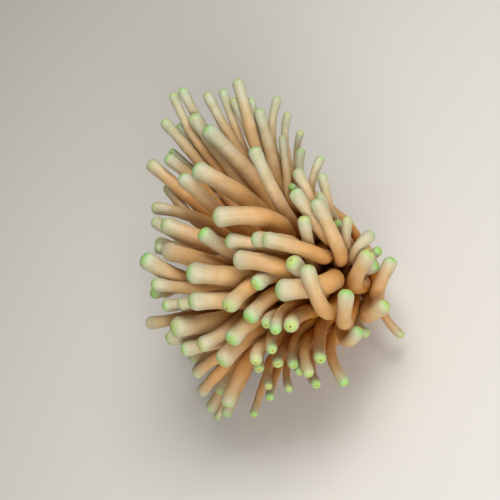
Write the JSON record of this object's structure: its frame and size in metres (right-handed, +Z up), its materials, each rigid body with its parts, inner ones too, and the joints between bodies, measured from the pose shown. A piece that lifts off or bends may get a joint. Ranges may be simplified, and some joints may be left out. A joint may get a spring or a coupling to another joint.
{
  "type": "sea anemone",
  "caption": "Life-size giant sea anemone standing on its pedal disc, with a dome of blunt tentacles swept back round its oral disc.",
  "frame": {"origin": "middle of the flat underside of the pedal disc, at floor level", "axes": "+Z up along the animal's own axis, +X to the right and -Y towards the viewer of its face"},
  "size_m": [0.234, 0.2699, 0.2076],
  "materials": {
    "tentacle_flesh": "moist translucent flesh with fine cross wrinkles, pale tips capped in green",
    "disc_flesh": "moist smooth flesh",
    "column_flesh": "moist smooth flesh with faint upright furrows"
  },
  "bodies": {
    "root": {"collar": "disc_flesh", "column": "column_flesh", "lips": "disc_flesh", "oral_disc_middle": "disc_flesh", "pedal_disc": "column_flesh", "tentacles_fourth_a_left": "tentacle_flesh", "tentacles_fourth_a_right": "tentacle_flesh", "tentacles_fourth_b_left": "tentacle_flesh", "tentacles_fourth_b_right": "tentacle_flesh", "tentacles_fourth_c_left": "tentacle_flesh", "tentacles_fourth_c_right": "tentacle_flesh", "tentacles_fourth_d_left": "tentacle_flesh", "tentacles_fourth_d_right": "tentacle_flesh", "tentacles_fourth_e_left": "tentacle_flesh", "tentacles_fourth_e_right": "tentacle_flesh", "tentacles_fourth_f_left": "tentacle_flesh", "tentacles_fourth_f_right": "tentacle_flesh", "tentacles_inner_a": "tentacle_flesh", "tentacles_inner_b": "tentacle_flesh", "tentacles_inner_c": "tentacle_flesh", "tentacles_inner_d": "tentacle_flesh", "tentacles_inner_e": "tentacle_flesh", "tentacles_inner_f": "tentacle_flesh", "tentacles_outer_a_left": "tentacle_flesh", "tentacles_outer_a_right": "tentacle_flesh", "tentacles_outer_b_left": "tentacle_flesh", "tentacles_outer_b_right": "tentacle_flesh", "tentacles_outer_c_left": "tentacle_flesh", "tentacles_outer_c_right": "tentacle_flesh", "tentacles_outer_d_left": "tentacle_flesh", "tentacles_outer_d_right": "tentacle_flesh", "tentacles_outer_e_left": "tentacle_flesh", "tentacles_outer_e_right": "tentacle_flesh", "tentacles_outer_f_left": "tentacle_flesh", "tentacles_outer_f_right": "tentacle_flesh", "tentacles_second_a": "tentacle_flesh", "tentacles_second_b": "tentacle_flesh", "tentacles_second_c": "tentacle_flesh", "tentacles_second_d": "tentacle_flesh", "tentacles_second_e": "tentacle_flesh", "tentacles_second_f": "tentacle_flesh", "tentacles_third_a_left": "tentacle_flesh", "tentacles_third_a_right": "tentacle_flesh", "tentacles_third_b_left": "tentacle_flesh", "tentacles_third_b_right": "tentacle_flesh", "tentacles_third_c_left": "tentacle_flesh", "tentacles_third_c_right": "tentacle_flesh", "tentacles_third_d_left": "tentacle_flesh", "tentacles_third_d_right": "tentacle_flesh", "tentacles_third_e_left": "tentacle_flesh", "tentacles_third_e_right": "tentacle_flesh", "tentacles_third_f_left": "tentacle_flesh", "tentacles_third_f_right": "tentacle_flesh"}
  },
  "joints": []
}
